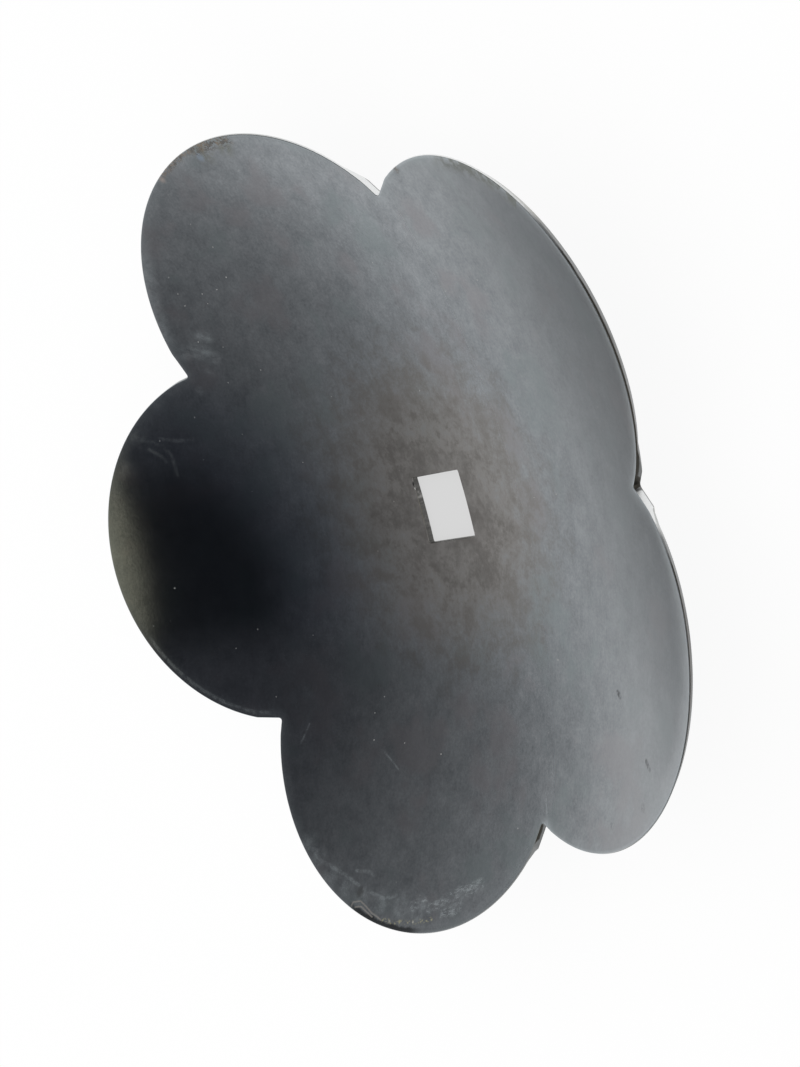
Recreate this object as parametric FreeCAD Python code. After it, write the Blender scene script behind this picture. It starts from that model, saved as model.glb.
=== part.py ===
import FreeCAD, Part
import math
import os

# Lobed harrow disc blade: one pressed and hardened steel sheet, dished to a sphere,
# with a square axle hole, rounded V notches between its lobes and a bevel ground
# on the convex back.
# Units are millimetres. The disc lies on its convex back with the hollow side up.
# The origin is the middle of the hole at the level of its lowest edge, and +Z is
# the disc's axis.

# Driving dimensions
TIP_DIAMETER = 560.0         # over the lobe tips, on the hollow face
DISH_RADIUS = 510.0          # sphere of the hollow face
THICKNESS = 5.0              # of the sheet, even all over

LOBE_COUNT = 5
NOTCH_DEPTH = 62.3           # from the circle of the tips to where two lobes meet
FIRST_LOBE_ANGLE = 90.0      # degrees from +X to the first lobe's tip

HOLE_SIDE = 46.0             # across the flats of the axle hole
HOLE_CORNER_RADIUS = 1.2

NOTCH_ROOT_RADIUS = 2.2      # nose of the notch punch
NOTCH_TRIM = 0.4             # how far the punch cuts into the lobe ahead of it
NOTCH_RELIEF = 1.5           # how far it cuts into the lobe behind it

BEVEL_LAND = 1.5             # part of the thickness left square at the cutting edge
BEVEL_ANGLE = 30.0           # degrees between the bevel and the sheet
BEVEL_STOP = 10.0            # from the notch corner to the end of the grinding
BEVEL_RUN_OUT = 18.0         # length over which the bevel fades out

CUT_MARGIN = 10.0            # how far every cutting tool reaches past the sheet
GRIND_MARGIN = 4.0           # how far the bevel's section reaches past the rim

# Derived sizes
BACK_RADIUS = DISH_RADIUS + THICKNESS
CENTRE_HEIGHT = math.sqrt(BACK_RADIUS ** 2 - (HOLE_SIDE / 2) ** 2)
SPHERE_CENTRE = FreeCAD.Vector(0, 0, CENTRE_HEIGHT)
LOBE_PITCH = 2 * math.pi / LOBE_COUNT
TIP_POLAR = math.asin(TIP_DIAMETER / 2 / DISH_RADIUS)
NOTCH_POLAR = math.asin((TIP_DIAMETER / 2 - NOTCH_DEPTH) / DISH_RADIUS)
# Each lobe is trimmed to a circle on the sphere. Its middle lies where that circle
# reaches both the lobe's tip and the two notch corners beside it.
LOBE_POLAR = math.atan2(
    math.cos(NOTCH_POLAR) - math.cos(TIP_POLAR),
    math.sin(TIP_POLAR) - math.cos(LOBE_PITCH / 2) * math.sin(NOTCH_POLAR),
)
LOBE_SPREAD = TIP_POLAR - LOBE_POLAR
LOBE_RADIUS = DISH_RADIUS * math.sin(LOBE_SPREAD)


def radial(polar, azimuth):
    """Unit vector from the sphere's centre, by its angle from the disc's axis."""
    return FreeCAD.Vector(
        math.sin(polar) * math.cos(azimuth),
        math.sin(polar) * math.sin(azimuth),
        -math.cos(polar),
    )


def outward(polar, azimuth):
    """Unit vector along the sheet, away from the disc's axis."""
    return FreeCAD.Vector(
        math.cos(polar) * math.cos(azimuth),
        math.cos(polar) * math.sin(azimuth),
        math.sin(polar),
    )


def lobe_azimuth(index):
    return math.radians(FIRST_LOBE_ANGLE) + index * LOBE_PITCH


def dished_sheet():
    """Round sheet between the two spheres, a little larger than the lobe tips."""
    rim_polar = TIP_POLAR + CUT_MARGIN / DISH_RADIUS
    hollow_pole = SPHERE_CENTRE + radial(0, 0) * DISH_RADIUS
    hollow_mid = SPHERE_CENTRE + radial(rim_polar / 2, 0) * DISH_RADIUS
    hollow_rim = SPHERE_CENTRE + radial(rim_polar, 0) * DISH_RADIUS
    back_pole = SPHERE_CENTRE + radial(0, 0) * BACK_RADIUS
    back_mid = SPHERE_CENTRE + radial(rim_polar / 2, 0) * BACK_RADIUS
    back_rim = SPHERE_CENTRE + radial(rim_polar, 0) * BACK_RADIUS
    section = Part.Wire([
        Part.Arc(hollow_pole, hollow_mid, hollow_rim).toShape(),
        Part.LineSegment(hollow_rim, back_rim).toShape(),
        Part.Arc(back_rim, back_mid, back_pole).toShape(),
        Part.LineSegment(back_pole, hollow_pole).toShape(),
    ])
    return Part.Face(section).revolve(FreeCAD.Vector(0, 0, 0), FreeCAD.Vector(0, 0, 1), 360)


def trimming_cone(axis, spread):
    """Solid through the sheet whose wall stands square to both spheres."""
    near = (DISH_RADIUS - CUT_MARGIN) * math.cos(spread)
    far = BACK_RADIUS + CUT_MARGIN
    return Part.makeCone(
        near * math.tan(spread),
        far * math.tan(spread),
        far - near,
        SPHERE_CENTRE + axis * near,
        axis,
    )


def lobed_outline():
    """Middle of the disc joined with its lobes, as one trimming solid."""
    middle = trimming_cone(radial(0, 0), LOBE_POLAR)
    lobes = []
    for index in range(LOBE_COUNT):
        axis = radial(LOBE_POLAR, lobe_azimuth(index))
        lobes.append(trimming_cone(axis, LOBE_SPREAD))
    return middle.fuse(lobes)


def notch_punch(index):
    """Rounded V through the sheet, between one lobe and the next."""
    azimuth = lobe_azimuth(index) + LOBE_PITCH / 2
    through = radial(NOTCH_POLAR, azimuth)
    out = outward(NOTCH_POLAR, azimuth)
    ahead = out.cross(through)
    corner = SPHERE_CENTRE + through * (DISH_RADIUS - CUT_MARGIN)

    # The flanks run parallel to the lobe circles where these cross.
    edge = through.cross(radial(LOBE_POLAR, lobe_azimuth(index))).normalize()
    flank = math.atan2(abs(edge.dot(ahead)), abs(edge.dot(out)))

    def place(u, v):
        return corner + out * u + ahead * v

    apex_u = -(NOTCH_TRIM + NOTCH_RELIEF) / (2 * math.sin(flank))
    apex_v = (NOTCH_TRIM - NOTCH_RELIEF) / (2 * math.cos(flank))
    nose_u = apex_u + NOTCH_ROOT_RADIUS / math.sin(flank)
    touch_u = nose_u - NOTCH_ROOT_RADIUS * math.sin(flank)
    touch_v = NOTCH_ROOT_RADIUS * math.cos(flank)
    # Past this length the lobes have curved away from the straight flanks.
    reach = 2 * math.sqrt(2 * LOBE_RADIUS * (NOTCH_RELIEF + NOTCH_TRIM))
    mouth_u = apex_u + reach * math.cos(flank)
    mouth_v = reach * math.sin(flank)

    root_ahead = place(touch_u, apex_v + touch_v)
    root_nose = place(nose_u - NOTCH_ROOT_RADIUS, apex_v)
    root_behind = place(touch_u, apex_v - touch_v)
    mouth_behind = place(mouth_u, apex_v - mouth_v)
    mouth_ahead = place(mouth_u, apex_v + mouth_v)
    outline = Part.Wire([
        Part.Arc(root_ahead, root_nose, root_behind).toShape(),
        Part.LineSegment(root_behind, mouth_behind).toShape(),
        Part.LineSegment(mouth_behind, mouth_ahead).toShape(),
        Part.LineSegment(mouth_ahead, root_ahead).toShape(),
    ])
    return Part.Face(outline).extrude(through * (THICKNESS + 2 * CUT_MARGIN))


def bevel_section(lobe_axis, side):
    """Corners of the triangle ground off the rim's back, in one plane through the
    lobe's axis. The first two lie on the bevel, past the rim and past the back."""
    slope = math.radians(BEVEL_ANGLE)
    depth = THICKNESS - BEVEL_LAND

    def rim_point(inward, below_hollow):
        polar = LOBE_SPREAD - inward / DISH_RADIUS
        distance = DISH_RADIUS + below_hollow
        direction = lobe_axis * math.cos(polar) + side * math.sin(polar)
        return SPHERE_CENTRE + direction * distance

    past_rim = rim_point(-GRIND_MARGIN, BEVEL_LAND - GRIND_MARGIN * math.tan(slope))
    past_back = rim_point(depth / math.tan(slope) + GRIND_MARGIN, THICKNESS + GRIND_MARGIN * math.tan(slope))
    outside = rim_point(-GRIND_MARGIN, THICKNESS + GRIND_MARGIN * math.tan(slope))
    back_edge = rim_point(0, THICKNESS)
    return past_rim, past_back, outside, back_edge


def triangle_face(first, second, third):
    return Part.Face(Part.makePolygon([first, second, third, first]))


def bevel_cutters(index):
    """Grinding of one lobe: an even bevel round its tip and a run-out at each end."""
    azimuth = lobe_azimuth(index)
    lobe_axis = radial(LOBE_POLAR, azimuth)
    to_tip = outward(LOBE_POLAR, azimuth)
    sideways = lobe_axis.cross(to_tip)

    # Turn about the lobe's axis from its tip to the notch corner.
    corner = radial(NOTCH_POLAR, azimuth + LOBE_PITCH / 2)
    corner_turn = math.atan2(abs(corner.dot(sideways)), corner.dot(to_tip))
    stop_turn = corner_turn - BEVEL_STOP / LOBE_RADIUS
    full_turn = stop_turn - BEVEL_RUN_OUT / LOBE_RADIUS

    def side_at(turn):
        return to_tip * math.cos(turn) + sideways * math.sin(turn)

    start = bevel_section(lobe_axis, side_at(-full_turn))
    even_part = triangle_face(*start[:3]).revolve(SPHERE_CENTRE, lobe_axis, math.degrees(2 * full_turn))
    cutters = [even_part]
    for hand in (-1, 1):
        past_rim, past_back, outside, _ = bevel_section(lobe_axis, side_at(hand * full_turn))
        fade_end = bevel_section(lobe_axis, side_at(hand * stop_turn))[3]
        run_out = Part.Shell([
            triangle_face(past_rim, past_back, outside),
            triangle_face(past_rim, past_back, fade_end),
            triangle_face(past_back, outside, fade_end),
            triangle_face(outside, past_rim, fade_end),
        ])
        cutters.append(Part.Solid(run_out))
    return cutters


def axle_hole():
    """Square hole punched along the disc's axis, one side facing the first lobe."""
    half = HOLE_SIDE / 2
    height = CENTRE_HEIGHT
    square = Part.makeBox(HOLE_SIDE, HOLE_SIDE, height, FreeCAD.Vector(-half, -half, -CUT_MARGIN))
    upright = [edge for edge in square.Edges if abs(edge.tangentAt(edge.FirstParameter).z) > 0.99]
    punch = square.makeFillet(HOLE_CORNER_RADIUS, upright)
    punch.rotate(FreeCAD.Vector(0, 0, 0), FreeCAD.Vector(0, 0, 1), FIRST_LOBE_ANGLE)
    return punch


def disc_blade():
    blade = dished_sheet().common(lobed_outline())
    for index in range(LOBE_COUNT):
        blade = blade.cut(notch_punch(index))
    for index in range(LOBE_COUNT):
        for cutter in bevel_cutters(index):
            blade = blade.cut(cutter)
    blade = blade.cut(axle_hole())
    return blade.removeSplitter()


def single_solid(shape):
    """The one solid of a finished piece, or an error if there isn't exactly one."""
    if len(shape.Solids) != 1 or not shape.isValid():
        raise ValueError("the blade is not one valid solid")
    return shape.Solids[0]


os.makedirs("parts", exist_ok=True)
blade = single_solid(disc_blade())
blade.exportStep("parts/disc_blade.step")
box = blade.BoundBox
print("disc_blade", "volume", round(blade.Volume, 1), "area", round(blade.Area, 1))
print("box", round(box.XMin, 2), round(box.YMin, 2), round(box.ZMin, 2),
      round(box.XMax, 2), round(box.YMax, 2), round(box.ZMax, 2))
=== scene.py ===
import math

import bpy
from mathutils import Matrix, Vector, kdtree, noise


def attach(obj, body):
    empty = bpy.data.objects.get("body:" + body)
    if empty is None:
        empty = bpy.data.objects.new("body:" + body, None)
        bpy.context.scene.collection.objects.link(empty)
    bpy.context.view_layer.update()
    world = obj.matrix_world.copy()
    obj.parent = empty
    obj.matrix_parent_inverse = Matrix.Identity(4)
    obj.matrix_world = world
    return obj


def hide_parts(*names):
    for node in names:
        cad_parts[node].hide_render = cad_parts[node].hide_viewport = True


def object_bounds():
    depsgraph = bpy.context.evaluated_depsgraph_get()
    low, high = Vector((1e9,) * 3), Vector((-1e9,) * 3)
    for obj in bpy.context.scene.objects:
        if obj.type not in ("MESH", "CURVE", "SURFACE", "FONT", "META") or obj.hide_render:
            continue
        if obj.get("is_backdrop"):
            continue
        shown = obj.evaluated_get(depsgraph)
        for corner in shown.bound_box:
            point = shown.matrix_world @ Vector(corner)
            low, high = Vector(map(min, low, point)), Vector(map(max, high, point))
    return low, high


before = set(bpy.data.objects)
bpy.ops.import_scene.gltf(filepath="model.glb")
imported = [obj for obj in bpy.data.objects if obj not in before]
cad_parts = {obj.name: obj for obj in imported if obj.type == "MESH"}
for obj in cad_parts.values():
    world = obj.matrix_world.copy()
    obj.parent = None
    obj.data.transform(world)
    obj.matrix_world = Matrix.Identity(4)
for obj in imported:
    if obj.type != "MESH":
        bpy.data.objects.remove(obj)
cad_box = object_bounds()

# Sizes of the blade, in metres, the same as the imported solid's
TIP_DIAMETER = 0.560
DISH_RADIUS = 0.510       # of the hollow face
THICKNESS = 0.005
LOBE_COUNT = 5
NOTCH_DEPTH = 0.0623
FIRST_LOBE_ANGLE = math.radians(90)
HOLE_SIDE = 0.046
HOLE_CORNER_RADIUS = 0.0012
NOTCH_ROOT_RADIUS = 0.0022
NOTCH_TRIM = 0.0004       # how far the punch cuts into the lobe ahead of it
NOTCH_RELIEF = 0.0015     # and into the lobe behind it
BEVEL_LAND = 0.0015       # part of the thickness left square at the cutting edge
BEVEL_ANGLE = math.radians(30)
BEVEL_STOP = 0.010        # from the notch corner to the end of the grinding
BEVEL_RUN_OUT = 0.018     # length over which the bevel fades out

# Worked out from the sizes above
BACK_RADIUS = DISH_RADIUS + THICKNESS
CENTRE = Vector((0, 0, math.sqrt(BACK_RADIUS ** 2 - (HOLE_SIDE / 2) ** 2)))
LOBE_PITCH = 2 * math.pi / LOBE_COUNT
TIP_POLAR = math.asin(TIP_DIAMETER / 2 / DISH_RADIUS)
NOTCH_POLAR = math.asin((TIP_DIAMETER / 2 - NOTCH_DEPTH) / DISH_RADIUS)
LOBE_POLAR = math.atan2(
    math.cos(NOTCH_POLAR) - math.cos(TIP_POLAR),
    math.sin(TIP_POLAR) - math.cos(LOBE_PITCH / 2) * math.sin(NOTCH_POLAR),
)
LOBE_SPREAD = TIP_POLAR - LOBE_POLAR
LOBE_RADIUS = DISH_RADIUS * math.sin(LOBE_SPREAD)

# Detail of the dressed surface: counts, and sizes in metres
ARC_STATIONS = 150        # round each lobe
FLANK_STATIONS = 9        # along each flank of a notch
NOSE_STATIONS = 9         # round each notch's root
HOLLOW_RINGS = 52         # across the hollow face, between the rows below
BACK_RINGS = 26
RIM_ROWS = (0.0003, 0.0008, 0.0014, 0.0022, 0.0032, 0.0045, 0.0070, 0.0100, 0.0130, 0.0170)
HOLE_ROWS = (0.0003, 0.0010, 0.0022)
EDGE_BREAK = 0.0003       # worn corner along every edge
EDGE_WEAR = 0.00015       # worn off the rim
EDGE_ROLL = (0.0035, 0.016)         # width of the rolled-down margin, usual and on the third lobe
EDGE_ROLL_DROP = (0.00016, 0.0008)  # and how far it drops there
BLUNT_CUT = (240, 24, 12)           # its azimuth, and how far off in degrees it is none and full
CRISP_CUT = (82, 38, 22)            # the same for the first lobe, which is hardly rolled
CRISP_LACKS = 0.9         # share of the drop that is missing there
LEAST_BEVEL = 0.06        # share of the bevel that filing leaves inside the notches
SHEET_WAVE = 0.00011      # height of the unevenness left by pressing
WAVE_FADE = 0.020         # the unevenness dies out over this width towards every edge
WAVES = ((8, (3.1, 7.7, 1.3), 1.0), (26, (8.4, 2.2, 5.9), 0.3))  # rate, offset and share
FAR_FROM_RIM = 1          # rim distance stored for the walls of the hole
SEARCH_REACH = 0.4        # turn within which a lobe's circle is known to meet a notch
SEARCH_HALVINGS = 50
SHARP_FROM = math.radians(25)       # edges sharper than this aren't shaded smooth

# Furnace scale left on the cut edge, by azimuth in degrees, with painted shadow and a painted
# glint in it: below 0.3 the steel is bright and a painted glint whitens it, at 0.5 it is blued,
# at 1 black on the half next to the hollow face and from 1.6 on all over. The black peaks near
# 198 and 270 degrees are painted shadow at the roots of the two notches there, not scale
SCALE_SHADOW_AND_GLINT = (
    (0, 0.30), (50, 0.50), (120, 0.50), (195.0, 0.45), (195.8, 1.00), (197.3, 1.15),
    (198.0, 0.50), (199.4, 0.40), (232, 0.50), (240, 1.30), (252, 1.50), (257, 1.05),
    (262, 0.55), (265, 0.22), (269.2, 0.22), (269.8, 1.80), (270.6, 1.80), (271.4, 1.05),
    (292, 1.05), (300, 0.75), (308, 0.25), (342, 0.20), (360, 0.30),
)


def radial(polar, azimuth):
    """Unit vector from the sphere's centre, by its angle from the disc's axis."""
    flat = math.sin(polar)
    return Vector((flat * math.cos(azimuth), flat * math.sin(azimuth), -math.cos(polar)))


def outward(polar, azimuth):
    """Unit vector along the sheet, away from the disc's axis."""
    flat = math.cos(polar)
    return Vector((flat * math.cos(azimuth), flat * math.sin(azimuth), math.sin(polar)))


def on_plan(azimuth, radius):
    """Place on the plan from an azimuth in degrees and a radius in millimetres."""
    turn = math.radians(azimuth)
    return radius / 1000 * math.cos(turn), radius / 1000 * math.sin(turn)


def lobe_azimuth(index):
    """Direction of a lobe's tip on the plan, in radians."""
    return FIRST_LOBE_ANGLE + index * LOBE_PITCH


def spaced(start, end, count):
    """Evenly spaced values, both ends included."""
    return [start + (end - start) * step / (count - 1) for step in range(count)]


def slide(start, towards, distance):
    """Direction moved along the sheet from start."""
    angle = distance / DISH_RADIUS
    return (start * math.cos(angle) + towards * math.sin(angle)).normalized()


def scale_shadow_and_glint(azimuth):
    """Furnace scale on the cut edge, with its painted shadow and painted glint, read between
    the rows of the table above.
    """
    for (low, before), (high, after) in zip(SCALE_SHADOW_AND_GLINT, SCALE_SHADOW_AND_GLINT[1:]):
        if azimuth <= high:
            return before + (after - before) * (azimuth - low) / (high - low)


class Station:
    """One place on the rim: its direction, the way into the steel and the bevel's share."""

    def __init__(self, direction, inward, share):
        self.direction = slide(direction, inward, EDGE_WEAR)
        self.inward = inward
        self.share = share
        self.azimuth = math.atan2(self.direction.y, self.direction.x)
        # Furnace scale here, which also carries painted shadow at two notch roots and a painted
        # glint
        self.scale = scale_shadow_and_glint(math.degrees(self.azimuth) % 360)


class Lobe:
    """The circle on the sphere that one lobe is trimmed to."""

    def __init__(self, index):
        azimuth = lobe_azimuth(index)
        self.axis = radial(LOBE_POLAR, azimuth)
        self.to_tip = outward(LOBE_POLAR, azimuth)
        self.sideways = self.to_tip.cross(self.axis)
        corner = radial(NOTCH_POLAR, azimuth + LOBE_PITCH / 2)
        self.corner_turn = math.atan2(abs(corner.dot(self.sideways)), corner.dot(self.to_tip))

    def rim(self, turn):
        """Direction of a point of the circle, turned from the tip."""
        side = self.to_tip * math.cos(turn) + self.sideways * math.sin(turn)
        return self.axis * math.cos(LOBE_SPREAD) + side * math.sin(LOBE_SPREAD)

    def station(self, turn):
        direction = self.rim(turn)
        inward = (self.axis - direction * direction.dot(self.axis)).normalized()
        run = (self.corner_turn - abs(turn)) * LOBE_RADIUS - BEVEL_STOP
        share = min(max(run / BEVEL_RUN_OUT, LEAST_BEVEL), 1.0)
        return Station(direction, inward, share)


class Notch:
    """The rounded V punched between a lobe and the next one. A place in it is given as u
    outward from its nominal root and v ahead, towards the next lobe."""

    def __init__(self, index):
        azimuth = lobe_azimuth(index) + LOBE_PITCH / 2
        self.through = radial(NOTCH_POLAR, azimuth)
        self.out = outward(NOTCH_POLAR, azimuth)
        self.ahead = self.out.cross(self.through)
        edge = self.through.cross(radial(LOBE_POLAR, lobe_azimuth(index))).normalized()
        self.flank = math.atan2(abs(edge.dot(self.ahead)), abs(edge.dot(self.out)))
        self.apex_u = -(NOTCH_TRIM + NOTCH_RELIEF) / (2 * math.sin(self.flank))
        self.apex_v = (NOTCH_TRIM - NOTCH_RELIEF) / (2 * math.cos(self.flank))
        self.nose_u = self.apex_u + NOTCH_ROOT_RADIUS / math.sin(self.flank)

    def station(self, u, v, inward_u, inward_v):
        """Station at a place of the notch, with the way into the steel there."""
        depth = math.sqrt(DISH_RADIUS ** 2 - u ** 2 - v ** 2)
        direction = (self.through * depth + self.out * u + self.ahead * v) / DISH_RADIUS
        inward = self.out * inward_u + self.ahead * inward_v
        inward = (inward - direction * direction.dot(inward)).normalized()
        return Station(direction, inward, LEAST_BEVEL)

    def on_flank(self, side, length):
        """Station on a flank: side is -1 on the lobe behind and 1 on the lobe ahead."""
        u = self.apex_u + length * math.cos(self.flank)
        v = self.apex_v + side * length * math.sin(self.flank)
        return self.station(u, v, -math.sin(self.flank), side * math.cos(self.flank))

    def on_nose(self, turn):
        """Station on the rounded root, turned from its deepest point."""
        u = self.nose_u - NOTCH_ROOT_RADIUS * math.cos(turn)
        v = self.apex_v + NOTCH_ROOT_RADIUS * math.sin(turn)
        return self.station(u, v, -math.cos(turn), math.sin(turn))

    def clearance(self, direction, side):
        """How far a point of the rim lies inside the steel, past a flank's line."""
        u = direction.dot(self.out) * DISH_RADIUS - self.apex_u
        v = direction.dot(self.ahead) * DISH_RADIUS - self.apex_v
        return side * v * math.cos(self.flank) - u * math.sin(self.flank)

    def flank_length(self, direction):
        return (direction.dot(self.out) * DISH_RADIUS - self.apex_u) / math.cos(self.flank)


def crossing(lobe, notch, side):
    """Turn at which a lobe's circle leaves the notch beside it."""
    sign = 1 if side < 0 else -1
    low, high = lobe.corner_turn - SEARCH_REACH, lobe.corner_turn
    for _ in range(SEARCH_HALVINGS):
        middle = (low + high) / 2
        if notch.clearance(lobe.rim(sign * middle), side) > 0:
            low = middle
        else:
            high = middle
    return sign * low


def rim_stations():
    """Stations once round the whole rim, against the clock from the first lobe."""
    lobes = [Lobe(index) for index in range(LOBE_COUNT)]
    notches = [Notch(index) for index in range(LOBE_COUNT)]
    stations = []
    for index, lobe in enumerate(lobes):
        before, after = notches[index - 1], notches[index]
        next_lobe = lobes[(index + 1) % LOBE_COUNT]
        start = crossing(lobe, before, 1)
        end = crossing(lobe, after, -1)
        stations += [lobe.station(turn) for turn in spaced(start, end, ARC_STATIONS)]
        touch = NOTCH_ROOT_RADIUS / math.tan(after.flank)
        leave = after.flank_length(lobe.rim(end))
        down = spaced(leave, touch, FLANK_STATIONS)[1:-1]
        stations += [after.on_flank(-1, length) for length in down]
        half_nose = math.pi / 2 - after.flank
        turns = spaced(-half_nose, half_nose, NOSE_STATIONS)
        stations += [after.on_nose(turn) for turn in turns]
        leave = after.flank_length(next_lobe.rim(crossing(next_lobe, after, 1)))
        up = spaced(touch, leave, FLANK_STATIONS)[1:-1]
        stations += [after.on_flank(1, length) for length in up]
    return stations


def hole_point(azimuth, inset):
    """Point of the square hole's outline, moved away from the hole by inset."""
    half = HOLE_SIDE / 2 + inset
    corner = HOLE_CORNER_RADIUS + inset
    x, y = abs(math.cos(azimuth)), abs(math.sin(azimuth))
    reach = half / max(x, y)
    flat = half - corner
    if reach * min(x, y) > flat:
        along = flat * (x + y)
        reach = along + math.sqrt(max(along ** 2 - 2 * flat ** 2 + corner ** 2, 0))
    return reach * math.cos(azimuth), reach * math.sin(azimuth)


def hole_edge(azimuth, inset, radius):
    """Direction of a point beside the hole, on a sphere of the given radius."""
    x, y = hole_point(azimuth, inset)
    return Vector((x, y, -math.sqrt(radius ** 2 - x ** 2 - y ** 2))) / radius


def between(start, end, share):
    """Direction a share of the way along the sheet from start to end."""
    angle = start.angle(end)
    near = start * math.sin((1 - share) * angle)
    far = end * math.sin(share * angle)
    return (near + far) / math.sin(angle)


def sheet_wave(direction, rim_distance):
    """Slight unevenness of the pressed sheet, the same on both faces."""
    place = direction * DISH_RADIUS
    from_hole = math.hypot(place.x, place.y) - HOLE_SIDE / 2
    calm = min(rim_distance / WAVE_FADE, 1) * min(max(from_hole / WAVE_FADE, 0), 1)
    wave = sum(share * noise.noise(place * rate + Vector(to)) for rate, to, share in WAVES)
    return SHEET_WAVE * calm * wave


def fade(value, none, full):
    """Smooth step from 0 at none to 1 at full."""
    share = min(max((value - none) / (full - none), 0), 1)
    return share * share * (3 - 2 * share)


def edge_roll(azimuth):
    """Width and depth of the rolled-down margin: hardly any on the first lobe, and wide on
    the third, as if it was sheared with a blunt die."""
    turned = math.degrees(azimuth) % 360
    crisp, blunt = (
        fade(abs(turned - middle), none, full) for middle, none, full in (CRISP_CUT, BLUNT_CUT)
    )
    width = EDGE_ROLL[0] + (EDGE_ROLL[1] - EDGE_ROLL[0]) * blunt
    drop = EDGE_ROLL_DROP[0] + (EDGE_ROLL_DROP[1] - EDGE_ROLL_DROP[0]) * blunt
    return width, drop * (1 - CRISP_LACKS * crisp)


class RimDistance:
    """Straight distance from any point of the hollow face to the nearest point of the rim."""

    def __init__(self, stations):
        self.line = [station.direction * DISH_RADIUS for station in stations]
        self.tree = kdtree.KDTree(len(self.line))
        for index, point in enumerate(self.line):
            self.tree.insert(point, index)
        self.tree.balance()

    def __call__(self, direction):
        point = direction * DISH_RADIUS
        _, index, _ = self.tree.find(point)
        return min(self.to_edge(point, index - 1), self.to_edge(point, index))

    def to_edge(self, point, index):
        start = self.line[index]
        run = self.line[(index + 1) % len(self.line)] - start
        share = min(max((point - start).dot(run) / run.length_squared, 0), 1)
        return (point - start - run * share).length


class Section:
    """The blade's closed section at one station: points with their zone and rim distance."""

    def __init__(self, station, rim_distance):
        self.station = station
        self.rim_distance = rim_distance
        self.azimuth = station.azimuth
        self.roll_width, self.roll_drop = edge_roll(station.azimuth)
        self.points = []
        self.zones = []
        self.distances = []
        depth = (THICKNESS - BEVEL_LAND) * station.share
        self.hollow_face()
        self.rim_wall(depth)
        self.back_face(depth)
        self.hole_wall()

    def add(self, direction, radius, zone, distance):
        """Adds a point. Its zone is that of the face which leads up to it."""
        self.points.append(CENTRE + direction * (radius + sheet_wave(direction, distance)))
        self.zones.append(zone)
        self.distances.append(distance)

    def hollow_face(self):
        start = hole_edge(self.azimuth, 0, DISH_RADIUS)
        end = self.station.direction
        length = start.angle(end) * DISH_RADIUS
        shares = [row / length for row in HOLE_ROWS]
        inner, outer = HOLE_ROWS[-1] / length, 1 - RIM_ROWS[-1] / length
        shares += spaced(inner, outer, HOLLOW_RINGS)[1:-1]
        shares += [1 - row / length for row in reversed(RIM_ROWS)]
        for share in shares:
            direction = between(start, end, share)
            distance = self.rim_distance(direction)
            roll = self.roll_drop * max(1 - distance / self.roll_width, 0) ** 2
            self.add(direction, DISH_RADIUS + roll, "hollow", distance)

    def rim_wall(self, depth):
        direction = self.station.direction
        self.add(direction, DISH_RADIUS + self.roll_drop + EDGE_BREAK, "edge", 0)
        self.add(direction, BACK_RADIUS - depth, "land", 0)

    def back_face(self, depth):
        direction, inward = self.station.direction, self.station.inward
        width = depth / math.tan(BEVEL_ANGLE)
        self.add(slide(direction, inward, width), BACK_RADIUS, "bevel", width)
        start = slide(direction, inward, width + EDGE_BREAK)
        end = hole_edge(self.azimuth, EDGE_BREAK, BACK_RADIUS)
        for share in spaced(0, 1, BACK_RINGS):
            direction = between(start, end, share)
            self.add(direction, BACK_RADIUS, "back", self.rim_distance(direction))

    def hole_wall(self):
        for drop in (EDGE_BREAK, THICKNESS / 2, THICKNESS - EDGE_BREAK):
            radius = BACK_RADIUS - drop
            self.add(hole_edge(self.azimuth, 0, radius), radius, "hole", FAR_FROM_RIM)


def blade_mesh():
    """The whole blade as one closed mesh, with what its materials need to know."""
    stations = rim_stations()
    rim_distance = RimDistance(stations)
    rows = [Section(station, rim_distance) for station in stations]
    across = len(rows[0].points)
    vertices = [point for row in rows for point in row.points]
    faces, zones = [], []
    for index, row in enumerate(rows):
        following = (index + 1) % len(rows)
        for step in range(across):
            onward = (step + 1) % across
            corners = (index, step), (index, onward), (following, onward), (following, step)
            faces.append([line * across + place for line, place in corners])
            zones.append(row.zones[onward])
    mesh = bpy.data.meshes.new("disc_blade_steel")
    mesh.from_pydata(vertices, [], faces)
    mesh.update()
    travel = [0.0]
    for station, onward in zip(stations, stations[1:]):
        step = station.direction.angle(onward.direction) * DISH_RADIUS
        travel.append(travel[-1] + step)
    store(mesh, "rim_distance", [distance for row in rows for distance in row.distances])
    store(mesh, "rim_travel", [length for length in travel for _ in range(across)])
    store(mesh, "scale_shadow_and_glint", [station.scale for station in stations for _ in range(across)])
    return mesh, zones


def store(mesh, name, values):
    """Keeps one number for each vertex, for the materials to read."""
    mesh.attributes.new(name, "FLOAT", "POINT").data.foreach_set("value", values)


def as_colour(value):
    """A colour of three parts with full opacity, and anything else as it is."""
    return (*value, 1) if isinstance(value, tuple) and len(value) == 3 else value


# Places of the factor, the two colours and the result among a Mix node's many sockets
MIX_INPUTS = (0, 6, 7)
MIX_RESULT = 2


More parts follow.
